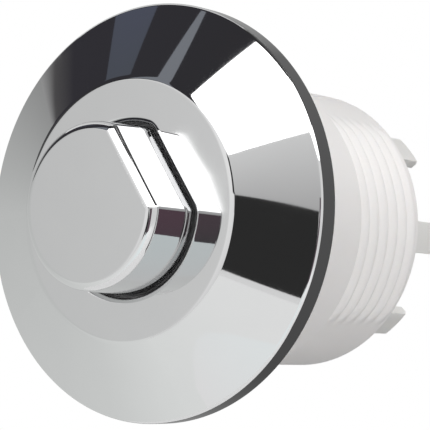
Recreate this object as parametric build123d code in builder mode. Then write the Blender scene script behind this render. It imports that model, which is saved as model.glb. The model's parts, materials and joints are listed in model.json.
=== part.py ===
"""Push button cistern actuator: a chrome D-shaped button in a conical flange, on a threaded white barrel.

The axis lies along Y. The origin is on the axis, in the plane of the flange's back, which seats on the panel.
The button faces -Y, the barrel runs along +Y, and Z is up. All sizes are in millimetres and degrees.
"""
import os
from math import atan, atan2, cos, degrees, floor, radians, sin

from build123d import *

# D-shaped opening in the front ring
opening_radius = 14.5
flat_depth = 2.6
flat_angle = 32.5
opening_corner = 2.4
opening_edge_radius = 1.0

# Flange: a flat ring around the button, a straight cone and a straight rim
ring_width = 7.3
ring_height = 9.7
ring_edge_radius = 2.5
rim_overhang = 9.0
rim_height = 3.8
rim_edge_radius = 1.1
rim_back_radius = 0.4
bezel_wall = 2.2
rib_count = 8
rib_thickness = 1.6

# Button cap: a D inside the opening, drafted towards its face, with a lip that stops behind the ring
button_gap = 0.4
button_corner = 2.1
button_draft = 2.0
button_edge_radius = 1.5
press_travel = 7.0
pressed_stand = 2.5
cap_front_wall = 1.8
cap_side_wall = 1.7
lip_overlap = 1.8
lip_thickness = 1.5
lip_room = 4.55
stop_gap = 0.2

# Plunger inside the cap, and its stem
plug_clearance = 0.1
plug_wall = 1.6
disc_thickness = 2.0
stem_radius = 5.0
stem_reach = 8.0

# Barrel: a tube around the skirt, with a plain neck behind the flange
barrel_wall = 2.1
barrel_end = 41.65
barrel_edge_chamfer = 0.5
neck_step = 1.0
neck_length = 21.5
spigot_step = 0.3
ledge_margin = 0.4
shoulder_depth = 2.0
shoulder_width = 2.0

# Interrupted thread, on the right and left of the barrel
crest_clearance = 0.1
thread_pitch = 3.0
thread_lead = 2.3
thread_land = 2.5
thread_root_width = 2.4
thread_crest_width = 0.9
thread_sector = 100.0
thread_sink = 0.4

# Skirt of the bezel inside the barrel, and the snap beads of both sleeves
skirt_wall = 2.0
skirt_length = 14.2
skirt_bead_inset = 5.0
sleeve_clearance = 0.05
bead_height = 0.45
bead_width = 2.4

# Rear guide with its castellated end
guide_wall = 2.0
guide_depth = 15.65
guide_bead_inset = 5.65
web_thickness = 2.5
bush_wall = 2.0
bush_lead = 4.0
bush_length = 14.0
stem_clearance = 0.08
vent_count = 6
vent_radius = 3.6
finger_count = 8
finger_length = 9.65
finger_angle = 14.5
finger_phase = -5.5
finger_chamfer = 0.6

# Return spring around the stem
spring_wire = 1.4
spring_clearance = 1.3
spring_turns = 7

# Push rod and its lock nut
rod_radius = 3.0
rod_depth = 11.0
rod_reach = 16.0
rod_tip_radius = 1.4
thread_clearance = 0.05
nut_across_flats = 10.0
nut_thickness = 5.0
nut_chamfer = 0.5

# Gasket in the back of the flange
gasket_thickness = 1.6
gasket_clearance = 0.2

# Angles around the axis, seen from the front
right_side = 0
top_side = 90
left_side = 180

# Radii, from the button outwards
ring_radius = opening_radius + ring_width
disc_radius = opening_radius + lip_overlap
skirt_inner = disc_radius + lip_room
skirt_outer = skirt_inner + skirt_wall
bore_radius = skirt_outer + sleeve_clearance
core_radius = bore_radius + barrel_wall
neck_radius = core_radius + neck_step
thread_crest_radius = neck_radius - crest_clearance
ledge_radius = neck_radius + ledge_margin
rim_radius = neck_radius + rim_overhang
rim_inner = rim_radius - bezel_wall

# The cone's slope, and how far its inner face lies behind its outer face along the axis
cone_slope = (ring_height - rim_height) / (rim_radius - ring_radius)
cone_drop = bezel_wall / cos(atan(cone_slope))


def cone_inside(radius, share=1.0):
    """Place along the axis of the cone's inner face, or of a level inside its wall."""
    return (radius - ring_radius) * cone_slope - ring_height + share * cone_drop


# Places along the axis, which grow towards the back
ring_front = -ring_height
ring_back = ring_front + bezel_wall
face_front = ring_front - pressed_stand - press_travel
cap_inside = face_front + cap_front_wall
lip_back = ring_back + stop_gap + lip_thickness
disc_back = lip_back + disc_thickness
ledge = cone_inside(ledge_radius)
skirt_end = ledge + skirt_length
guide_front = barrel_end - guide_depth
web_back = guide_front + web_thickness
bush_front = guide_front - bush_lead
bush_end = bush_front + bush_length
guide_end = barrel_end + finger_length
stem_end = bush_end + stem_reach
rod_start = stem_end - rod_depth
rod_end = stem_end + rod_reach
nut_back = stem_end + nut_thickness


def across(place):
    """Plane square to the axis, facing the front, with X to the right and Z up."""
    return Plane.XZ.offset(-place)


def around(angle):
    """Half plane through the axis: a sketch's x is the radius and its y is the place along the axis."""
    return Plane.XY.rotated((0, -angle, 0))


def d_shape(inset, corner):
    """D outline in the sketch being built: the opening's outline, moved in by an inset."""
    radius = opening_radius - inset
    Circle(radius)
    with PolarLocations(radius - flat_depth, 1, flat_angle):
        Rectangle(radius, 2 * radius, align=(Align.MIN, Align.CENTER), mode=Mode.SUBTRACT)
    fillet(vertices(), corner)


def bead(radius, place, grow=0.0):
    """Points of a snap bead on a sleeve, or of the groove around it, from front to back."""
    half = bead_width / 2 + grow
    crest = radius + bead_height + grow
    return [(radius, place - half), (crest, place - half / 3), (crest, place + half / 3), (radius, place + half)]


# Bezel: ring, cone, rim, skirt and ribs in one plated moulding
skirt_bead = skirt_end - skirt_bead_inset
rib_inner = ledge_radius + ledge_margin
rib_outer = rim_inner + bezel_wall / 2

with BuildPart() as bezel:
    with BuildSketch(around(right_side)) as bezel_profile:
        with BuildLine():
            Polyline(
                (0, ring_front),
                (ring_radius, ring_front),
                (rim_radius, -rim_height),
                (rim_radius, 0),
                (rim_inner, 0),
                (rim_inner, cone_inside(rim_inner)),
                (ledge_radius, ledge),
                (skirt_outer, ledge),
                *bead(skirt_outer, skirt_bead),
                (skirt_outer, skirt_end),
                (skirt_inner, skirt_end),
                (skirt_inner, ring_back),
                (0, ring_back),
                close=True,
            )
        make_face()
        corners = bezel_profile.vertices()
        fillet(corners.sort_by_distance((ring_radius, ring_front))[0], ring_edge_radius)
        fillet(corners.sort_by_distance((rim_radius, -rim_height))[0], rim_edge_radius)
        fillet(corners.sort_by_distance((rim_radius, 0))[0], rim_back_radius)
    revolve(axis=Axis.Y)
    for turn in range(rib_count):
        with BuildSketch(around(360 * turn / rib_count)):
            with BuildLine():
                Polyline(
                    (rib_inner, -gasket_thickness),
                    (rib_outer, -gasket_thickness),
                    (rib_outer, cone_inside(rib_outer, 0.5)),
                    (rib_inner, cone_inside(rib_inner, 0.5)),
                    close=True,
                )
            make_face()
        extrude(amount=rib_thickness / 2, both=True)
    with BuildSketch(across(ring_back)):
        d_shape(0, opening_corner)
    extrude(amount=bezel_wall, mode=Mode.SUBTRACT)
    ring_face = bezel.faces().filter_by(Axis.Y).sort_by(Axis.Y)[0]
    fillet(ring_face.inner_wires()[0].edges(), opening_edge_radius)
bezel.part.label = "bezel"

# Button cap
cap_inset = button_gap + cap_side_wall

with BuildPart() as button_cap:
    with BuildSketch(across(lip_back)):
        d_shape(button_gap, button_corner)
    extrude(amount=lip_back - face_front, taper=button_draft)
    fillet(button_cap.faces().sort_by(Axis.Y)[0].edges(), button_edge_radius)
    with BuildSketch(across(lip_back)):
        d_shape(-lip_overlap, opening_corner + lip_overlap)
    extrude(amount=lip_thickness)
    with BuildSketch(across(lip_back)):
        d_shape(cap_inset, button_corner)
    extrude(amount=lip_back - cap_inside, mode=Mode.SUBTRACT)
button_cap.part.label = "button_cap"

# Plunger: a D-shaped wall inside the cap, a disc behind the lip and the stem
plug_inset = cap_inset + plug_clearance

with BuildPart() as plunger:
    with BuildSketch(across(lip_back)):
        d_shape(plug_inset, button_corner)
        Circle(opening_radius - flat_depth - plug_inset - plug_wall, mode=Mode.SUBTRACT)
    extrude(amount=lip_back - cap_inside)
    with BuildSketch(across(disc_back)):
        Circle(disc_radius)
    extrude(amount=disc_thickness)
    with BuildSketch(across(stem_end)):
        Circle(stem_radius)
    extrude(amount=stem_end - cap_inside)
    with BuildSketch(across(stem_end)):
        Circle(rod_radius + thread_clearance)
    extrude(amount=rod_depth, mode=Mode.SUBTRACT)
plunger.part.label = "plunger"

# Barrel: plain neck, threaded core, and a bore with a shoulder and two snap grooves
guide_bead = barrel_end - guide_bead_inset
thread_first = neck_length + thread_lead
thread_turns = floor((barrel_end - thread_land - thread_first) / thread_pitch) + 1
thread_rise = thread_pitch * thread_sector / 360
thread_height = thread_crest_radius - core_radius
thread_flank = (thread_root_width - thread_crest_width) / 2 / thread_height
thread_foot = thread_root_width / 2 + thread_sink * thread_flank


def thread_ridge(angle, place):
    """One ridge of the thread over one sector, along a right-hand helix centred on an angle."""
    start = angle + thread_sector / 2
    outward = Vector(cos(radians(start)), 0, sin(radians(start)))
    helix = Helix(thread_pitch, thread_rise, core_radius, direction=(0, 1, 0), mode=Mode.PRIVATE)
    helix_start = degrees(atan2((helix @ 0).Z, (helix @ 0).X))
    path = Pos(0, place - thread_rise / 2, 0) * Rot(0, helix_start - start, 0) * helix
    with BuildSketch(Plane(origin=path @ 0, x_dir=outward, z_dir=path % 0)) as section:
        with BuildLine():
            Polyline(
                (-thread_sink, -thread_foot),
                (thread_height, -thread_crest_width / 2),
                (thread_height, thread_crest_width / 2),
                (-thread_sink, thread_foot),
                close=True,
            )
        make_face()
    sweep(section.sketch, path=path, is_frenet=True)


with BuildPart() as barrel:
    with BuildSketch(around(top_side)):
        with BuildLine():
            Polyline(
                (neck_radius - spigot_step, ledge),
                (neck_radius - spigot_step, 0),
                (neck_radius, 0),
                (neck_radius, neck_length),
                (core_radius, neck_length),
                (core_radius, barrel_end - barrel_edge_chamfer),
                (core_radius - barrel_edge_chamfer, barrel_end),
                (bore_radius, barrel_end),
                *reversed(bead(bore_radius, guide_bead, sleeve_clearance)),
                (bore_radius, guide_front),
                (bore_radius - shoulder_depth, guide_front),
                (bore_radius - shoulder_depth, guide_front - shoulder_width),
                (bore_radius, guide_front - shoulder_width),
                *reversed(bead(bore_radius, skirt_bead, sleeve_clearance)),
                (bore_radius, ledge),
                close=True,
            )
        make_face()
    revolve(axis=Axis.Y)
    for turn in range(thread_turns):
        thread_ridge(right_side, thread_first + turn * thread_pitch)
    for turn in range(thread_turns - 1):
        thread_ridge(left_side, thread_first + (turn + 0.5) * thread_pitch)
barrel.part.label = "barrel"

# Rear guide: a sleeve in the barrel, a vented web with the stem's bush, and the fingers behind the barrel
guide_outer = bore_radius - sleeve_clearance
guide_inner = guide_outer - guide_wall
bush_bore = stem_radius + stem_clearance
bush_radius = bush_bore + bush_wall
finger_pitch = 360 / finger_count

with BuildPart() as rear_guide:
    with BuildSketch(around(right_side)):
        with BuildLine():
            Polyline(
                (bush_bore, bush_front),
                (bush_radius, bush_front),
                (bush_radius, guide_front),
                (guide_outer, guide_front),
                *bead(guide_outer, guide_bead),
                (guide_outer, guide_end - finger_chamfer),
                (guide_outer - finger_chamfer, guide_end),
                (guide_inner, guide_end),
                (guide_inner, web_back),
                (bush_radius, web_back),
                (bush_radius, bush_end),
                (bush_bore, bush_end),
                close=True,
            )
        make_face()
    revolve(axis=Axis.Y)
    with BuildSketch(across(web_back)):
        with PolarLocations((bush_radius + guide_inner) / 2, vent_count):
            Circle(vent_radius)
    extrude(amount=web_thickness, mode=Mode.SUBTRACT)
    for turn in range(finger_count):
        gap_start = radians(finger_phase + finger_angle / 2 + turn * finger_pitch)
        gap_stop = radians(finger_phase - finger_angle / 2 + (turn + 1) * finger_pitch)
        with BuildSketch(across(guide_end)):
            with BuildLine():
                Polyline(
                    (0, 0),
                    (rim_radius * cos(gap_start), rim_radius * sin(gap_start)),
                    (rim_radius * cos(gap_stop), rim_radius * sin(gap_stop)),
                    close=True,
                )
            make_face()
        extrude(amount=finger_length, mode=Mode.SUBTRACT)
rear_guide.part.label = "rear_guide"

# Return spring: a coil between the plunger's disc and the guide's web
spring_radius = bush_radius + spring_clearance + spring_wire / 2
spring_length = guide_front - disc_back - spring_wire

with BuildPart() as return_spring:
    with BuildLine() as coil:
        Helix(
            spring_length / spring_turns,
            spring_length,
            spring_radius,
            center=(0, disc_back + spring_wire / 2, 0),
            direction=(0, 1, 0),
        )
    with BuildSketch(Plane(origin=coil.line @ 0, z_dir=coil.line % 0)):
        Circle(spring_wire / 2)
    sweep(path=coil.line, is_frenet=True)
return_spring.part.label = "return_spring"

# Push rod in the stem's end, with a rounded tip
with BuildPart() as push_rod:
    with BuildSketch(across(rod_end)):
        Circle(rod_radius)
    extrude(amount=rod_end - rod_start)
    fillet(push_rod.faces().sort_by(Axis.Y)[-1].edges(), rod_tip_radius)
push_rod.part.label = "push_rod"

# Lock nut against the stem's end
with BuildPart() as rod_nut:
    with BuildSketch(across(nut_back)):
        RegularPolygon(nut_across_flats / 2, 6, major_radius=False)
    extrude(amount=nut_thickness)
    chamfer(rod_nut.faces().sort_by(Axis.Y)[-1].edges(), nut_chamfer)
    with BuildSketch(across(nut_back)):
        Circle(rod_radius + thread_clearance)
    extrude(amount=nut_thickness, mode=Mode.SUBTRACT)
rod_nut.part.label = "rod_nut"

# Gasket ring on the ribs, flush with the back of the rim
with BuildPart() as seat_gasket:
    with BuildSketch(across(0)):
        Circle(rim_inner - gasket_clearance)
        Circle(neck_radius + gasket_clearance, mode=Mode.SUBTRACT)
    extrude(amount=gasket_thickness)
seat_gasket.part.label = "seat_gasket"

os.makedirs("parts", exist_ok=True)
for piece in (
    bezel,
    button_cap,
    plunger,
    barrel,
    rear_guide,
    return_spring,
    push_rod,
    rod_nut,
    seat_gasket,
):
    export_step(piece.part, f"parts/{piece.part.label}.step")
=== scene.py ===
"""Looks of the push button cistern actuator: chrome, white plastic, steel and rubber in a small studio."""
import json
from math import atan2, cos, pi, radians, sin, sqrt, tan

import bpy
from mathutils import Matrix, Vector


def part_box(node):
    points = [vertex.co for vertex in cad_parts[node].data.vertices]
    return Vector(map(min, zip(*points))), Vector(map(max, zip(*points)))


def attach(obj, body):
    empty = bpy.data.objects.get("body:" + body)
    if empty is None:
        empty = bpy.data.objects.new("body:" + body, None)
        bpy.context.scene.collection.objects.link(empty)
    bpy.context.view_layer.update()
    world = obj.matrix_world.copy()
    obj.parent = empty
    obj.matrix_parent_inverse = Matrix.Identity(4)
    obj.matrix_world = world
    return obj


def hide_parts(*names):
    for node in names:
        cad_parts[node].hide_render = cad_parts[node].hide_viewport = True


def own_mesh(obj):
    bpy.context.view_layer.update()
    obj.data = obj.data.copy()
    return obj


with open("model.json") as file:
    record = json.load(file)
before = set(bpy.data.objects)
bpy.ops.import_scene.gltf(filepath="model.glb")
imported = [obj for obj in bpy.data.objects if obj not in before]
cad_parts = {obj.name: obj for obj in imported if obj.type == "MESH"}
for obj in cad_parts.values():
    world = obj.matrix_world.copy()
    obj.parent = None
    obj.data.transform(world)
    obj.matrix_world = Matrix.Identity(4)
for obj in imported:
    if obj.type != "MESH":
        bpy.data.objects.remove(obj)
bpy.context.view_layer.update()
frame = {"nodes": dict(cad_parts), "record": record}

MM = 0.001


def places(name):
    """Front and back of a node along the axis, in millimetres."""
    low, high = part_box(name)
    return round(low.y / MM, 3), round(high.y / MM, 3)


def reach(name):
    """Largest radius of a round node, in millimetres."""
    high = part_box(name)[1]
    return round(max(high.x, high.z) / MM, 3)


# D outlines in millimetres: radius of the round part, distance of the flat from the axis, corner radius
FLAT_ANGLE = radians(32.5)
OPENING = (14.5, 11.9, 2.4)
OPENING_EDGE = 1.0
BUTTON_FOOT = (14.1, 11.5, 2.1)
BUTTON_DRAFT = radians(2.0)
BUTTON_EDGE = 1.5
CAP_HOLLOW = (12.4, 9.8, 2.1)
LIP = (16.3, 13.7, 4.2)

# Radii of the flange and barrel: all sizes of the part are in millimetres
RING_RADIUS = 21.8
RIM_RADIUS = reach("bezel")
RIM_INNER = 32.8
LEDGE_RADIUS = 26.4
SKIRT_OUTER = 22.85
SKIRT_INNER = 20.85
BORE_RADIUS = 22.9
CORE_RADIUS = 25.0
NECK_RADIUS = reach("barrel")
SPIGOT_RADIUS = 25.7

# Places along the axis, and the button's travel
FACE_FRONT, LIP_BACK = places("button_cap")
CAP_INSIDE = places("plunger")[0]
RING_FRONT, SKIRT_END = places("bezel")
RING_BACK = -7.5
LIP_FRONT = -7.3
LEDGE, BARREL_END = places("barrel")
RIM_FRONT = -3.8
DISC_BACK = -3.8
RIM_RECESS = -2.373
NECK_END = frame["record"]["mounts"][0]["dims"]["length_mm"]
PRESS = frame["record"]["behaviour"]["joints"][0]
GUIDE_FRONT = round(PRESS["deforming_nodes"][0]["fixed_end_y_m"] / MM, 3)

# Roundings of the flange and barrel, and the distance of a rounding's support points
RING_EDGE = 2.5
RIM_EDGE = 0.7
RIM_BACK_EDGE = 0.4
SMALL_EDGE = 0.15
BARREL_EDGE = 0.5
NECK_EDGE = 0.35
NECK_FOOT = 0.3
SUPPORT = 0.08

# Interrupted thread of the barrel: full and gone are degrees away from a sector's middle
THREAD_PITCH = 3.0
THREAD_FIRST = 23.8
THREAD_TURNS = 6
THREAD_HEIGHT = 0.9
THREAD_HALF_WIDTH = 1.45
THREAD_FULLNESS = 0.75
THREAD_FULL = 35.0
THREAD_GONE = 48.0
THREAD_FRONT_MARGIN = 0.45
THREAD_BACK_MARGIN = 0.1

# Sectors of the thread: middle in degrees, shift in pitches, number of ridges
THREAD_SECTORS = ((0.0, 0.0, THREAD_TURNS), (180.0, 0.5, THREAD_TURNS - 1))

# Spring: its coil opens between two distances from an end, counted in turns
SPRING_RADIUS = 9.08
SPRING_WIRE = 1.4
SPRING_TURNS = 8.5
SPRING_CLOSED_PITCH = 1.45
SPRING_OPENS = 0.7
SPRING_OPEN = 1.3

# Rod: the share of the thread's depth, cut off at 0 and 1, is the valley's value in a groove's middle
# and falls by the flank's value over one pitch
ROD_RADIUS = reach("push_rod")
ROD_START, ROD_END = places("push_rod")
ROD_TIP = 1.4
ROD_PITCH = 1.0
ROD_THREAD_DEPTH = 0.55
ROD_VALLEY = 1.35
ROD_FLANK = 2.9

# Lock nut
NUT_FLATS = 10.0
NUT_FRONT, NUT_BACK = places("rod_nut")
NUT_BORE = 3.05
NUT_CHAMFER = 0.4
NUT_FACE = 4.7
NUT_SLOPE = radians(30.0)

# Softened edges of the pieces that keep their solids' meshes
WELD_GAP = 0.002
SOFT_EDGE = 0.2
SOFT_ANGLE = radians(40.0)

# Mesh fineness: points around the axis, and steps along roundings and ridges
BEZEL_SIDES = 720
CAP_SIDES = 1440
BARREL_SIDES = 360
ROD_SIDES = 60
NUT_SIDES = 240
WIRE_SIDES = 14
OPENING_STEPS = 12
CAP_STEPS = 14
RIDGE_STEPS = 126
STEPS_PER_TURN = 56
ROD_STEPS_PER_PITCH = 12
NUT_BEVEL_STEPS = 6


def smooth_step(low, high, value):
    """0 below low, 1 above high, and a smooth rise between them."""
    share = min(1.0, max(0.0, (value - low) / (high - low)))
    return share * share * (3 - 2 * share)


# Mesh building: stacks of rings

def even_angles(count):
    """Angles around the axis, evenly spaced, in radians."""
    return [2 * pi * step / count for step in range(count)]


def d_radius(angle, outline, grow):
    """Distance from the axis to a D outline, moved out by a little, at an angle."""
    radius, flat, corner = [size + grow for size in outline]
    turn = abs((angle - FLAT_ANGLE + pi) % (2 * pi) - pi)
    centre_x = flat - corner
    centre_y = sqrt((radius - corner) ** 2 - centre_x ** 2)
    if turn <= atan2(centre_y, flat):
        return flat / cos(turn)
    if turn >= atan2(centre_y, centre_x):
        return radius
    along = centre_x * cos(turn) + centre_y * sin(turn)
    return along + sqrt(along ** 2 - centre_x ** 2 - centre_y ** 2 + corner ** 2)


def ring(angles, radius_at, place):
    """Points around the axis at one place along it, in metres."""
    points = []
    for angle in angles:
        radius = radius_at(angle) if callable(radius_at) else radius_at
        points.append((radius * cos(angle) * MM, place * MM, radius * sin(angle) * MM))
    return points


def d_ring(angles, outline, place, grow=0.0):
    """Points of a D outline, moved out by a little, at one place along the axis."""
    return ring(angles, lambda angle: d_radius(angle, outline, grow), place)


def rounded(points, steps=8):
    """Profile through points (radius, place, rounding).

    Each rounding is an arc with a support point on both sides.
    """
    profile = []
    for index, (radius, place, rounding) in enumerate(points):
        corner = Vector((radius, place))
        if not rounding:
            profile.append(corner)
            continue
        before = (Vector(points[index - 1][:2]) - corner).normalized()
        after = (Vector(points[index + 1][:2]) - corner).normalized()
        half = before.angle(after) / 2
        middle = corner + (before + after).normalized() * rounding / sin(half)
        reach = rounding / tan(half)
        start = corner + before * reach - middle
        stop = corner + after * reach - middle
        profile.append(corner + before * (reach + SUPPORT))
        for step in range(steps + 1):
            profile.append(middle + start.slerp(stop, step / steps).normalized() * rounding)
        profile.append(corner + after * (reach + SUPPORT))
    return [tuple(point) for point in profile]


def shell(name, rings, loop=False, sharp=32.0):
    """Object from a stack of rings.

    Its ends close on their middles, unless the stack runs back to its start. An edge that turns by more
    than the sharp angle, in degrees, stays sharp.
    """
    count = len(rings[0])
    points = [point for one in rings for point in one]
    faces = []
    spans = len(rings) if loop else len(rings) - 1
    for span in range(spans):
        near = span * count
        far = (span + 1) % len(rings) * count
        for step in range(count):
            turn = (step + 1) % count
            faces.append((near + step, near + turn, far + turn, far + step))
    if not loop:
        for start, back in ((0, True), ((len(rings) - 1) * count, False)):
            centre = len(points)
            end = points[start:start + count]
            points.append(tuple(sum(values) / count for values in zip(*end)))
            for step in range(count):
                turn = (step + 1) % count
                pair = (start + turn, start + step) if back else (start + step, start + turn)
                faces.append((centre, *pair))
    mesh = bpy.data.meshes.new(name)
    mesh.from_pydata(points, [], faces)
    mesh.validate()
    if mesh_volume(mesh) < 0:
        mesh.flip_normals()
    return finish_mesh(name, mesh, sharp)


def mesh_volume(mesh):
    """Signed volume inside a closed mesh, which is negative where its faces look inwards."""
    total = 0.0
    for face in mesh.polygons:
        corners = [mesh.vertices[index].co for index in face.vertices]
        for step in range(1, len(corners) - 1):
            total += corners[0].dot(corners[step].cross(corners[step + 1]))
    return total / 6


def finish_mesh(name, mesh, sharp):
    """Object with smooth faces, sharp edges where they turn, and normals that keep flat faces flat."""
    mesh.shade_smooth()
    mesh.set_sharp_from_angle(angle=radians(sharp))
    piece = bpy.data.objects.new(name, mesh)
    bpy.context.scene.collection.objects.link(piece)
    even = piece.modifiers.new("even_normals", "WEIGHTED_NORMAL")
    even.mode = "FACE_AREA"
    even.weight = 90
    even.keep_sharp = True
    return piece


# Materials: colours, and the range of each roughness
CHROME_TINTS = ((0.616, 0.618, 0.622), (0.64, 0.641, 0.643))
CHROME_ROUGHNESS = (0.015, 0.05)
# Painted shade: a dark grey, dull and not metallic, that stands for the shadow in the flange's opening
PAINTED_SHADE_TINT = (0.3, 0.3, 0.305)
PAINTED_SHADE_DULLNESS = 0.3
SATIN_SPREAD = 0.06
STEEL_TINTS = ((0.42, 0.42, 0.43), (0.62, 0.62, 0.63))
STEEL_ROUGHNESS = (0.22, 0.42)
RUBBER_TINTS = ((0.035, 0.035, 0.037), (0.085, 0.085, 0.088))
RUBBER_ROUGHNESS = (0.62, 0.85)

# Where the chrome carries painted shade, dark, dull and not metallic, inside the flange: places along the
# axis, and radii
PAINTED_SHADE_STARTS = -8.9
PAINTED_SHADE_FULL = -8.5
PAINTED_SHADE_RADIUS = 20.9
PAINTED_SHADE_GONE = 21.2


def new_material(name):
    """Material with its shader, a link maker and a node maker."""
    made = bpy.data.materials.new(name)
    made.use_nodes = True
    tree = made.node_tree
    shader = tree.nodes["Principled BSDF"]

    def node(kind, **values):
        one = tree.nodes.new(kind)
        for key, value in values.items():
            if hasattr(one, key):
                setattr(one, key, value)
            else:
                one.inputs[key].default_value = value
        return one

    return made, shader, tree.links.new, node


def mapped(node, link, stretch=(1, 1, 1)):
    """Object coordinates in metres, stretched."""
    place = node("ShaderNodeTexCoord")
    scale = node("ShaderNodeMapping")
    scale.inputs["Scale"].default_value = stretch
    link(place.outputs["Object"], scale.inputs["Vector"])
    return scale.outputs["Vector"]


def between(node, link, source, low, high, start=0.0, stop=1.0):
    """A value stretched from one range to another, and held at its ends."""
    reach = node("ShaderNodeMapRange")
    reach.inputs["From Min"].default_value = start
    reach.inputs["From Max"].default_value = stop
    reach.inputs["To Min"].default_value = low
    reach.inputs["To Max"].default_value = high
    link(source, reach.inputs["Value"])
    return reach.outputs["Result"]


def mixed(node, link, share, tints):
    """Mix of two colours by a share."""
    mix = node("ShaderNodeMix", data_type="RGBA")
    mix.inputs["A"].default_value = (*tints[0], 1)
    mix.inputs["B"].default_value = (*tints[1], 1)
    link(share, mix.inputs["Factor"])
    return mix.outputs["Result"]


def bumped(node, link, shader, height, strength, distance):
    """Fine relief on a shader, with its full height in metres."""
    bump = node("ShaderNodeBump", Strength=strength, Distance=distance)
    link(height, bump.inputs["Height"])
    link(bump.outputs["Normal"], shader.inputs["Normal"])


def painted_shade_share(node, link, place):
    """Share of painted shade: 1 in the flange's opening, a little behind its front, and in the hollow
    there, and 0 outside.
    """
    split = node("ShaderNodeSeparateXYZ")
    link(place, split.inputs["Vector"])
    deep = between(node, link, split.outputs["Y"], 0, 1, PAINTED_SHADE_STARTS * MM, PAINTED_SHADE_FULL * MM)
    level = node("ShaderNodeVectorMath", operation="MULTIPLY")
    level.inputs[1].default_value = (1, 0, 1)
    link(place, level.inputs[0])
    size = node("ShaderNodeVectorMath", operation="LENGTH")
    link(level.outputs["Vector"], size.inputs[0])
    near = between(node, link, size.outputs["Value"], 1, 0, PAINTED_SHADE_RADIUS * MM, PAINTED_SHADE_GONE * MM)
    both = node("ShaderNodeMath", operation="MULTIPLY")
    link(deep, both.inputs[0])
    link(near, both.inputs[1])
    return both.outputs["Value"]


def chrome():
    """Bright plating with a faint ripple and uneven polish.

    Inside the flange it is dull, dark and not metallic: painted shade that stands for the shadow deep in
    the opening.
    """
    made, shader, link, node = new_material("chrome_plate")
    place = mapped(node, link)
    # Painted shade: share of the dark, dull tint that stands for the shadow in the opening
    inside = painted_shade_share(node, link, place)
    link(between(node, link, inside, 1, 0), shader.inputs["Metallic"])
    cloud = node("ShaderNodeTexNoise", Scale=140.0, Detail=3.0)
    link(place, cloud.inputs["Vector"])
    dull = node("ShaderNodeMath", operation="MULTIPLY_ADD")
    link(inside, dull.inputs[0])
    dull.inputs[1].default_value = PAINTED_SHADE_DULLNESS
    link(between(node, link, cloud.outputs["Fac"], *CHROME_ROUGHNESS), dull.inputs[2])
    link(dull.outputs["Value"], shader.inputs["Roughness"])
    # Painted shade: the dark tint mixed in where the opening lies in shadow
    dark = node("ShaderNodeMix", data_type="RGBA")
    dark.inputs["B"].default_value = (*PAINTED_SHADE_TINT, 1)
    link(inside, dark.inputs["Factor"])
    link(mixed(node, link, cloud.outputs["Fac"], CHROME_TINTS), dark.inputs["A"])
    link(dark.outputs["Result"], shader.inputs["Base Color"])
    ripple = node("ShaderNodeTexNoise", Scale=60.0, Detail=1.0)
    link(place, ripple.inputs["Vector"])
    bumped(node, link, shader, ripple.outputs["Fac"], strength=0.02, distance=0.0001)
    return made


def moulded(name, tints, roughness):
    """Moulded plastic: satin, with faint flow marks and a fine grain."""
    made, shader, link, node = new_material(name)
    place = mapped(node, link)
    flow_place = mapped(node, link, (1, 0.25, 1))
    flow = node("ShaderNodeTexNoise", Scale=90.0, Detail=4.0, Roughness=0.6)
    link(flow_place, flow.inputs["Vector"])
    link(mixed(node, link, flow.outputs["Fac"], tints), shader.inputs["Base Color"])
    satin = between(node, link, flow.outputs["Fac"], roughness - SATIN_SPREAD, roughness + SATIN_SPREAD)
    link(satin, shader.inputs["Roughness"])
    grain = node("ShaderNodeTexNoise", Scale=2600.0, Detail=2.0)
    link(place, grain.inputs["Vector"])
    bumped(node, link, shader, grain.outputs["Fac"], strength=0.12, distance=0.00004)
    shader.inputs["Subsurface Weight"].default_value = 0.08
    shader.inputs["Subsurface Radius"].default_value = (0.0012, 0.0010, 0.0008)
    return made


def steel(name, stretch):
    """Bare steel with fine drawing or turning lines."""
    made, shader, link, node = new_material(name)
    shader.inputs["Metallic"].default_value = 1.0
    lines = node("ShaderNodeTexNoise", Scale=900.0, Detail=4.0, Roughness=0.7)
    link(mapped(node, link, stretch), lines.inputs["Vector"])
    link(mixed(node, link, lines.outputs["Fac"], STEEL_TINTS), shader.inputs["Base Color"])
    link(between(node, link, lines.outputs["Fac"], *STEEL_ROUGHNESS), shader.inputs["Roughness"])
    bumped(node, link, shader, lines.outputs["Fac"], strength=0.15, distance=0.00003)
    return made


def rubber():
    """Matte moulded rubber with a dusty bloom."""
    made, shader, link, node = new_material("gasket_rubber")
    bloom = node("ShaderNodeTexNoise", Scale=260.0, Detail=5.0, Roughness=0.65)
    link(mapped(node, link), bloom.inputs["Vector"])
    link(mixed(node, link, bloom.outputs["Fac"], RUBBER_TINTS), shader.inputs["Base Color"])
    link(between(node, link, bloom.outputs["Fac"], *RUBBER_ROUGHNESS), shader.inputs["Roughness"])
    bumped(node, link, shader, bloom.outputs["Fac"], strength=0.3, distance=0.00008)
    return made


CHROME = chrome()
WHITE = moulded("white_plastic", ((0.87, 0.85, 0.84), (0.90, 0.88, 0.87)), roughness=0.42)
GUIDE = moulded("guide_plastic", ((0.81, 0.80, 0.78), (0.85, 0.84, 0.82)), roughness=0.45)
SPRING = steel("spring_steel", stretch=(1, 1, 1))
ROD = steel("rod_steel", stretch=(1, 6, 1))
RUBBER = rubber()


def dress(piece, material, slot, body, *replaced):
    """Finish, body and replaced nodes of a new piece."""
    piece.data.materials.clear()
    piece.data.materials.append(material)
    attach(piece, body)
    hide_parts(*replaced)


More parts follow.
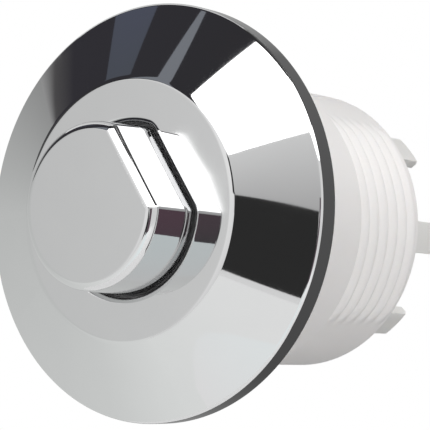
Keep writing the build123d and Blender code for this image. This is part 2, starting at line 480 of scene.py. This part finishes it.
# Bezel: front ring with the D opening, cone, rim, back recess and skirt
bezel_angles = even_angles(BEZEL_SIDES)
bezel_rings = []
for point in rounded([
    (OPENING[0], RING_FRONT, 0),
    (RING_RADIUS, RING_FRONT, RING_EDGE),
    (RIM_RADIUS, RIM_FRONT, RIM_EDGE),
    (RIM_RADIUS, 0, RIM_BACK_EDGE),
    (RIM_INNER, 0, SMALL_EDGE),
    (RIM_INNER, RIM_RECESS, 0),
    (LEDGE_RADIUS, LEDGE, 0),
    (SKIRT_OUTER, LEDGE, 0),
    (SKIRT_OUTER, SKIRT_END, SMALL_EDGE),
    (SKIRT_INNER, SKIRT_END, SMALL_EDGE),
    (SKIRT_INNER, RING_BACK, 0),
])[1:]:
    bezel_rings.append(ring(bezel_angles, point[0], point[1]))
bezel_rings.append(d_ring(bezel_angles, OPENING, RING_BACK))
bezel_rings.append(d_ring(bezel_angles, OPENING, RING_FRONT + OPENING_EDGE + SUPPORT))
for step in range(OPENING_STEPS + 1):
    turn = pi / 2 * step / OPENING_STEPS
    place = RING_FRONT + OPENING_EDGE * (1 - sin(turn))
    spread = OPENING_EDGE * (1 - cos(turn))
    bezel_rings.append(d_ring(bezel_angles, OPENING, place, spread))
bezel_rings.append(d_ring(bezel_angles, OPENING, RING_FRONT, OPENING_EDGE + SUPPORT))
bezel = shell("bezel_shell", bezel_rings, loop=True)
dress(bezel, CHROME, "chrome_plate", "housing", "bezel")


# Button cap: hollow, lip, drafted side wall, rounded front edge and flat face

def drafted(place):
    """How far the draft moves the button's wall out, less than 0 in front of its foot, at a place."""
    return (place - LIP_BACK) * tan(BUTTON_DRAFT)


cap_angles = even_angles(CAP_SIDES)
wall_front = FACE_FRONT + BUTTON_EDGE * (1 - sin(BUTTON_DRAFT)) + SUPPORT
cap_rings = [
    d_ring(cap_angles, CAP_HOLLOW, CAP_INSIDE),
    d_ring(cap_angles, CAP_HOLLOW, LIP_BACK),
    d_ring(cap_angles, LIP, LIP_BACK),
    d_ring(cap_angles, LIP, LIP_FRONT),
    d_ring(cap_angles, BUTTON_FOOT, LIP_FRONT, drafted(LIP_FRONT)),
    d_ring(cap_angles, BUTTON_FOOT, wall_front, drafted(wall_front)),
]
for step in range(CAP_STEPS + 1):
    turn = BUTTON_DRAFT + (pi / 2 - BUTTON_DRAFT) * step / CAP_STEPS
    place = FACE_FRONT + BUTTON_EDGE * (1 - sin(turn))
    spread = BUTTON_EDGE * (tan(BUTTON_DRAFT) - 1 / cos(BUTTON_DRAFT) + cos(turn))
    cap_rings.append(d_ring(cap_angles, BUTTON_FOOT, place, drafted(FACE_FRONT) + spread))
cap_rings.append(d_ring(cap_angles, BUTTON_FOOT, FACE_FRONT, drafted(FACE_FRONT) + spread - SUPPORT))
cap = shell("button_cap_shell", cap_rings)
dress(cap, CHROME, "chrome_plate", "button", "button_cap")


# Barrel: plain neck and a core with rounded ridges that fade out at the top and bottom

def ridge_height(angle, place):
    """Height of the thread over the core at an angle and a place along the axis."""
    for side, shift, turns in THREAD_SECTORS:
        off = (angle * 180 / pi - side + 180) % 360 - 180
        fade = 1 - smooth_step(THREAD_FULL, THREAD_GONE, abs(off))
        if fade <= 0:
            continue
        along = (place - THREAD_FIRST) / THREAD_PITCH - shift + off / 360
        nearest = min(turns - 1, max(0, round(along)))
        away = abs(along - nearest) * THREAD_PITCH
        if away < THREAD_HALF_WIDTH:
            swell = 0.5 + 0.5 * cos(pi * away / THREAD_HALF_WIDTH)
            return THREAD_HEIGHT * fade * swell ** THREAD_FULLNESS
    return 0.0


barrel_angles = even_angles(BARREL_SIDES)
barrel_rings = []
for point in rounded([
    (BORE_RADIUS, LEDGE, 0),
    (SPIGOT_RADIUS, LEDGE, 0),
    (SPIGOT_RADIUS, 0, 0),
    (NECK_RADIUS, 0, 0),
    (NECK_RADIUS, NECK_END, NECK_EDGE),
    (CORE_RADIUS, NECK_END, NECK_FOOT),
    (CORE_RADIUS, BARREL_END, 0),
])[:-1]:
    barrel_rings.append(ring(barrel_angles, point[0], point[1]))
ridge_start = NECK_END + THREAD_FRONT_MARGIN
ridge_stop = BARREL_END - BARREL_EDGE - THREAD_BACK_MARGIN
for step in range(RIDGE_STEPS + 1):
    place = ridge_start + (ridge_stop - ridge_start) * step / RIDGE_STEPS
    barrel_rings.append(ring(
        barrel_angles, lambda angle, place=place: CORE_RADIUS + ridge_height(angle, place), place))
for point in rounded([
    (CORE_RADIUS, ridge_stop, 0),
    (CORE_RADIUS, BARREL_END, BARREL_EDGE),
    (BORE_RADIUS, BARREL_END, SMALL_EDGE),
    (BORE_RADIUS, LEDGE, 0),
])[1:-1]:
    barrel_rings.append(ring(barrel_angles, point[0], point[1]))
barrel = shell("barrel_shell", barrel_rings, loop=True, sharp=50.0)
dress(barrel, WHITE, "white_plastic", "housing", "barrel")


# Return spring: open coils between closed ends

def spring_share(turn):
    """How open the coil is at a turn: 0 at the closed ends and 1 between them."""
    first = smooth_step(SPRING_OPENS, SPRING_OPEN, turn)
    last = smooth_step(SPRING_OPENS, SPRING_OPEN, SPRING_TURNS - turn)
    return first * last


spring_steps = round(SPRING_TURNS * STEPS_PER_TURN)
open_shares = [spring_share((step + 0.5) / STEPS_PER_TURN) for step in range(spring_steps)]
open_turns = sum(open_shares) / STEPS_PER_TURN
spring_length = GUIDE_FRONT - DISC_BACK - SPRING_WIRE
extra_pitch = (spring_length - SPRING_TURNS * SPRING_CLOSED_PITCH) / open_turns


def spring_pitch(turn):
    """How far the coil advances in one turn, at a turn."""
    return SPRING_CLOSED_PITCH + extra_pitch * spring_share(turn)


spring_rings = []
place = DISC_BACK + SPRING_WIRE / 2
for step in range(spring_steps + 1):
    turn = step / STEPS_PER_TURN
    angle = 2 * pi * turn
    rise = spring_pitch(turn) / (2 * pi)
    outward = Vector((cos(angle), 0, sin(angle)))
    along = Vector((-SPRING_RADIUS * sin(angle), rise, SPRING_RADIUS * cos(angle))).normalized()
    across = outward.cross(along)
    middle = outward * SPRING_RADIUS + Vector((0, place, 0))
    spring_rings.append([
        tuple((middle + (outward * cos(side) + across * sin(side)) * SPRING_WIRE / 2) * MM)
        for side in even_angles(WIRE_SIDES)])
    place += spring_pitch(turn + 0.5 / STEPS_PER_TURN) / STEPS_PER_TURN
spring = shell("return_spring_coil", spring_rings)
dress(spring, SPRING, "spring_steel", "housing", "return_spring")
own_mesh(spring)


# Push rod: a fine thread up to a rounded tip

def rod_surface(angle, place):
    """Radius of the threaded rod at an angle and a place along the axis."""
    phase = (place / ROD_PITCH + angle / (2 * pi)) % 1.0
    depth = ROD_THREAD_DEPTH * min(1.0, max(0.0, ROD_VALLEY - ROD_FLANK * abs(phase - 0.5)))
    round_off = max(0.0, place - ROD_END + ROD_TIP)
    tip = ROD_RADIUS - ROD_TIP + sqrt(ROD_TIP ** 2 - min(round_off, ROD_TIP) ** 2)
    return min(tip, ROD_RADIUS - depth)


rod_angles = even_angles(ROD_SIDES)
rod_steps = round((ROD_END - ROD_START) / ROD_PITCH * ROD_STEPS_PER_PITCH)
rod_rings = []
for step in range(rod_steps + 1):
    place = ROD_START + (ROD_END - ROD_START) * step / rod_steps
    rod_rings.append(ring(rod_angles, lambda angle, place=place: rod_surface(angle, place), place))
rod = shell("push_rod_threaded", rod_rings, sharp=70.0)
dress(rod, ROD, "rod_steel", "button", "push_rod")

# Lock nut: a hexagon with a turned bevel on both faces
nut_angles = even_angles(NUT_SIDES)
bevel_depth = (NUT_FLATS / sqrt(3) - NUT_FACE) * tan(NUT_SLOPE)


def nut_ring(place, inset):
    """Outline of the nut at a place, where a depth from its nearer face sets the bevel."""
    bevel = NUT_FACE + inset / tan(NUT_SLOPE)
    return ring(
        nut_angles, lambda angle: min(bevel, NUT_FLATS / 2 / cos(angle % (pi / 3) - pi / 6)), place)


nut_rings = [
    ring(nut_angles, NUT_BORE, NUT_BACK - NUT_CHAMFER),
    ring(nut_angles, NUT_BORE, NUT_FRONT + NUT_CHAMFER),
    ring(nut_angles, NUT_BORE + NUT_CHAMFER, NUT_FRONT),
]
for step in range(NUT_BEVEL_STEPS + 1):
    inset = bevel_depth * step / NUT_BEVEL_STEPS
    nut_rings.append(nut_ring(NUT_FRONT + inset, inset))
for step in range(NUT_BEVEL_STEPS, -1, -1):
    inset = bevel_depth * step / NUT_BEVEL_STEPS
    nut_rings.append(nut_ring(NUT_BACK - inset, inset))
nut_rings.append(ring(nut_angles, NUT_BORE + NUT_CHAMFER, NUT_BACK))
nut = shell("rod_nut_hexagon", nut_rings, loop=True, sharp=25.0)
dress(nut, ROD, "rod_steel", "button", "rod_nut")

# Guide, plunger and gasket keep their solids' meshes, and get a finish and softened edges
for name, material in (("rear_guide", GUIDE), ("plunger", GUIDE), ("seat_gasket", RUBBER)):
    kept = frame["nodes"][name]
    kept.data.materials.clear()
    kept.data.materials.append(material)
    weld = kept.modifiers.new("joined", "WELD")
    weld.merge_threshold = WELD_GAP * MM
    soft = kept.modifiers.new("soft_edges", "BEVEL")
    soft.width = SOFT_EDGE * MM
    soft.segments = 2
    soft.limit_method = "ANGLE"
    soft.angle_limit = SOFT_ANGLE
    soft.harden_normals = True


# Studio: floor, soft lamps, and cards around the object that only reflections show

def toward(azimuth, elevation, distance):
    """Point at a distance from the origin.

    Azimuth runs from the front to the right and elevation runs up, both in degrees.
    """
    level = cos(radians(elevation)) * distance
    right = sin(radians(azimuth)) * level
    front = cos(radians(azimuth)) * level
    return Vector((right, -front, sin(radians(elevation)) * distance))


def glow(name):
    """Glowing material in the card's own corner tones."""
    made = bpy.data.materials.new(name)
    made.use_nodes = True
    tree = made.node_tree
    tree.nodes.clear()
    out = tree.nodes.new("ShaderNodeOutputMaterial")
    light = tree.nodes.new("ShaderNodeEmission")
    tree.links.new(light.outputs["Emission"], out.inputs["Surface"])
    tones = tree.nodes.new("ShaderNodeVertexColor")
    tones.layer_name = "tone"
    tree.links.new(tones.outputs["Color"], light.inputs["Color"])
    return made


CARD_GLOW = glow("card_glow")
CARD_STEPS = 12


def card(name, distance, *corners):
    """Card seen only in reflections, whose tones run from corner to corner.

    The corners are low left, low right, high right and high left, each as (azimuth, elevation, tone).
    """
    points = []
    tones = []
    for row in range(CARD_STEPS + 1):
        up = row / CARD_STEPS
        for column in range(CARD_STEPS + 1):
            along = column / CARD_STEPS
            weights = ((1 - along) * (1 - up), along * (1 - up), along * up, (1 - along) * up)
            shares = list(zip(weights, corners))
            azimuth = sum(weight * corner[0] for weight, corner in shares)
            elevation = sum(weight * corner[1] for weight, corner in shares)
            tone = [sum(weight * corner[2][band] for weight, corner in shares) for band in range(3)]
            points.append(toward(azimuth, elevation, distance))
            tones.append((*tone, 1.0))
    faces = []
    for row in range(CARD_STEPS):
        for column in range(CARD_STEPS):
            start = row * (CARD_STEPS + 1) + column
            faces.append((start, start + 1, start + CARD_STEPS + 2, start + CARD_STEPS + 1))
    mesh = bpy.data.meshes.new(name)
    mesh.from_pydata(points, [], faces)
    layer = mesh.color_attributes.new("tone", "FLOAT_COLOR", "POINT")
    for index, tone in enumerate(tones):
        layer.data[index].color = tone
    mesh.materials.append(CARD_GLOW)
    made = bpy.data.objects.new(name, mesh)
    bpy.context.scene.collection.objects.link(made)
    made.visible_camera = False
    made.visible_diffuse = False
    made.visible_shadow = False


def grey(level):
    """Even tone."""
    return (level, level, level)


MIST_RED = 0.982
MIST_BLUE = 0.987


def mist(level):
    """Grey with a trace of green."""
    return (level * MIST_RED, level, level * MIST_BLUE)


# Distances of the cards, in metres: where two of them overlap, the nearer one shows
FAR = 1.3
BEFORE_FAR = 1.25
MIDDLE = 1.22
BEFORE_MIDDLE = 1.2
CLOSE = 0.5
CLOSER = 0.48
CLOSEST = 0.45

# Tones of the cards
BLACK = grey(0.036)
DARK = (0.046, 0.044, 0.053)
DUSK = (0.102, 0.099, 0.102)
STAND_LEFT = (0.099, 0.098, 0.103)
STAND_RIGHT = (0.19, 0.111, 0.148)
MINT = (1.12, 1.23, 1.24)
BRIGHT = grey(3.2)
SLATE_LOW = (0.096, 0.106, 0.119)
SLATE_HIGH = (0.105, 0.115, 0.163)
STREAK = (0.256, 0.271, 0.303)
STRIP = grey(1.2)
GLINT = grey(4.0)
PATCH = grey(0.86)

# Left and below: a soft grey that brightens downwards and to the right
card("card_left", FAR,
     (-120, -10, mist(0.79)), (-45, -10, mist(0.78)), (-45, 5, mist(0.76)), (-120, 5, mist(0.69)))
card("card_rise", FAR,
     (-120, 5, mist(0.725)), (-76, 5, mist(0.725)), (-76, 34, grey(0.23)), (-120, 34, grey(0.23)))
card("card_inner", FAR,
     (-76, 5, mist(0.725)), (-45, 5, mist(0.76)), (-45, 17, grey(0.74)), (-76, 17, grey(0.58)))
card("card_face", FAR,
     (-45, -10, mist(0.78)), (-28, -10, grey(0.9)), (-28, 17, grey(1.0)), (-45, 17, grey(0.74)))
card("card_low", CLOSE,
     (-120, -46, mist(0.86)), (-62, -46, mist(0.95)), (-62, -10, mist(0.79)), (-120, -10, mist(0.79)))
card("card_turn", CLOSE,
     (-62, -46, mist(0.95)), (-35, -46, mist(1.04)), (-35, -10, mist(1.0)), (-62, -10, mist(0.79)))
card("card_under", CLOSE,
     (-35, -46, mist(1.04)), (30, -46, grey(1.14)), (30, -20.5, grey(1.15)), (-35, -20.5, mist(1.04)))
card("card_mint", CLOSER,
     (-26, -48, grey(1.08)), (44, -48, MINT), (44, -15.4, MINT), (-26, -41, grey(1.08)))

# Above: dark, with a blue band and a pale streak that ends in a wedge
card("card_dark", FAR,
     (-85.6, 23.2, DARK), (40, 23, BLACK), (130, 85, BLACK), (-60, 85, DARK))
card("card_shade", BEFORE_FAR,
     (-78, 12.4, grey(0.12)), (-57, 12, grey(0.12)), (-33, 24, BLACK), (-84, 24, DARK))
card("card_fade", MIDDLE,
     (-85.9, 22.1, grey(0.43)), (-85.05, 23.4, DUSK), (-83.9, 28.5, DUSK), (-86.65, 24.9, grey(0.43)))
card("card_tail", MIDDLE,
     (-85.05, 23.4, DUSK), (-79.8, 29.3, DARK), (-80.1, 32.6, DARK), (-83.9, 28.5, DUSK))
card("card_band", BEFORE_FAR,
     (-66, 36.5, SLATE_LOW), (-56.2, 41.5, SLATE_LOW), (-55.7, 48, SLATE_HIGH), (-71.5, 42, SLATE_HIGH))
card("card_streak", MIDDLE,
     (-43, 24, STREAK), (-31, 24, STREAK), (-30, 46.3, STREAK), (-39.1, 46.4, STREAK))
card("card_wedge", MIDDLE,
     (-39.1, 46.4, STREAK), (-30, 46.3, STREAK), (-35, 49.8, STREAK), (-36.4, 49.8, STREAK))

# Front and right: a bright softbox over grey and black cards, with a thin glint and a dark stand
card("card_softbox", BEFORE_FAR,
     (-23, 22.1, BRIGHT), (150, 22.1, BRIGHT), (150, 76.8, BRIGHT), (-15.3, 43.15, BRIGHT))
card("card_glint_high", BEFORE_MIDDLE,
     (-36.82, 6.5, GLINT), (-36.36, 6.5, PATCH), (-37.34, 8.06, PATCH), (-37.8, 8.06, GLINT))
card("card_glint_low", BEFORE_MIDDLE,
     (-36.31, 5.09, GLINT), (-35.85, 5.09, PATCH), (-36.36, 6.5, PATCH), (-36.82, 6.5, GLINT))
card("card_strip", FAR,
     (-28, -20, grey(0.95)), (10, -20, grey(0.95)), (10, 22.5, STRIP), (-28, 22.5, STRIP))
card("card_front", BEFORE_FAR,
     (7, 2, grey(0.57)), (55, 2, grey(0.57)), (55, 22.3, grey(0.9)), (7, 22.3, grey(0.9)))
card("card_room", BEFORE_MIDDLE,
     (4.5, -18.2, BLACK), (28.6, -18.2, BLACK), (11.8, 8.9, BLACK), (11, 8.9, BLACK))
card("card_edge", BEFORE_MIDDLE,
     (-1, 8, BLACK), (10, 8, BLACK), (7, 20.5, BLACK), (-1, 20.5, BLACK))
card("card_stand", CLOSEST,
     (24, -22.2, STAND_LEFT), (48, -24.4, STAND_RIGHT), (48, 6, STAND_RIGHT), (24, 6, STAND_LEFT))

# Behind: a dim back and roof that the rim's edge shows, paler towards the left
card("card_roof", BEFORE_MIDDLE,
     (-5, 58, BLACK), (185, 58, grey(0.2)), (185, 88, grey(0.2)), (-5, 88, BLACK))
card("card_roof_back", BEFORE_MIDDLE,
     (98, 36, BLACK), (185, 40, grey(0.2)), (185, 58, grey(0.2)), (98, 58, BLACK))
card("card_roof_left", CLOSE,
     (185, 45, grey(0.19)), (225, 45, grey(0.8)), (225, 78, grey(0.8)), (185, 78, grey(0.19)))
card("card_roof_far", CLOSE,
     (225, 45, grey(0.8)), (264, 45, grey(0.75)), (264, 75, grey(0.7)), (225, 78, grey(0.8)))
card("card_back", CLOSE,
     (115, -48, grey(0.085)), (185, -48, grey(0.09)), (185, 45, grey(0.19)), (115, 45, grey(0.13)))
card("card_back_left", CLOSE,
     (185, -48, grey(0.09)), (228, -48, grey(0.12)), (262, 45, grey(0.9)), (185, 45, grey(0.19)))


def lamp(name, azimuth, elevation, distance, size, watts):
    """Square soft lamp that faces the object and isn't seen itself."""
    data = bpy.data.lights.new(name, "AREA")
    data.shape = "SQUARE"
    data.size = size
    data.energy = watts
    made = bpy.data.objects.new(name, data)
    bpy.context.scene.collection.objects.link(made)
    made.location = toward(azimuth, elevation, distance)
    made.rotation_euler = (-made.location).to_track_quat("-Z", "Y").to_euler()
    made.visible_camera = False
    made.visible_glossy = False


lamp("lamp_key", azimuth=140, elevation=66, distance=1.1, size=0.7, watts=4.0)
lamp("lamp_side", azimuth=62, elevation=2, distance=1.0, size=0.4, watts=3.0)

# Floor and sky: both show white, and light the object less than they show
FLOOR_LEVEL = -0.4
FLOOR_REACH = 6.0
FLOOR_TONE = 0.56
FLOOR_LIFT = 0.6
SKY_LIGHT = 0.53
SKY_SHOWN = 1.0


def background_share(tree):
    """1 for rays from the camera, from gloss or through glass, and 0 for the rest."""
    path = tree.nodes.new("ShaderNodeLightPath")
    first = tree.nodes.new("ShaderNodeMath")
    first.operation = "MAXIMUM"
    second = tree.nodes.new("ShaderNodeMath")
    second.operation = "MAXIMUM"
    tree.links.new(path.outputs["Is Camera Ray"], first.inputs[0])
    tree.links.new(path.outputs["Is Glossy Ray"], first.inputs[1])
    tree.links.new(first.outputs[0], second.inputs[0])
    tree.links.new(path.outputs["Is Transmission Ray"], second.inputs[1])
    return second.outputs[0]


def floor_material():
    """Pale matte floor that shows white and keeps shadows."""
    made = bpy.data.materials.new("pale_floor")
    made.use_nodes = True
    tree = made.node_tree
    shader = tree.nodes["Principled BSDF"]
    shader.inputs["Base Color"].default_value = (*grey(FLOOR_TONE), 1)
    shader.inputs["Roughness"].default_value = 0.9
    shader.inputs["Emission Color"].default_value = (1, 1, 1, 1)
    lift = tree.nodes.new("ShaderNodeMath")
    lift.operation = "MULTIPLY"
    lift.inputs[1].default_value = FLOOR_LIFT
    tree.links.new(background_share(tree), lift.inputs[0])
    tree.links.new(lift.outputs[0], shader.inputs["Emission Strength"])
    return made


floor_mesh = bpy.data.meshes.new("floor")
floor_mesh.from_pydata(
    [(x * FLOOR_REACH, y * FLOOR_REACH, FLOOR_LEVEL) for x, y in ((-1, -1), (1, -1), (1, 1), (-1, 1))],
    [], [(0, 1, 2, 3)])
floor_mesh.materials.append(floor_material())
floor = bpy.data.objects.new("floor", floor_mesh)
bpy.context.scene.collection.objects.link(floor)

world = bpy.data.worlds.new("studio")
bpy.context.scene.world = world
world.use_nodes = True
sky = world.node_tree.nodes["Background"]
sky.inputs["Color"].default_value = (1, 1, 1, 1)
strength = world.node_tree.nodes.new("ShaderNodeMapRange")
strength.inputs["To Min"].default_value = SKY_LIGHT
strength.inputs["To Max"].default_value = SKY_SHOWN
world.node_tree.links.new(background_share(world.node_tree), strength.inputs["Value"])
world.node_tree.links.new(strength.outputs["Result"], sky.inputs["Strength"])

# Camera at the photograph's place: place in metres, direction of view, lens and sensor in millimetres
CAMERA_PLACE = Vector((0.19727, -0.24496, -0.02798))
CAMERA_VIEW = Vector((-0.60256, 0.7932, 0.08803))
CAMERA_LENS = 157.48
CAMERA_SENSOR = 36.0
camera_data = bpy.data.cameras.new("camera")
camera_data.lens = CAMERA_LENS
camera_data.sensor_width = CAMERA_SENSOR
camera_data.clip_start = 0.01
camera_data.clip_end = 50.0
camera = bpy.data.objects.new("camera", camera_data)
bpy.context.scene.collection.objects.link(camera)
camera.location = CAMERA_PLACE
camera.rotation_euler = CAMERA_VIEW.to_track_quat("-Z", "Y").to_euler()
bpy.context.scene.camera = camera

bpy.context.scene.view_settings.view_transform = "Standard"
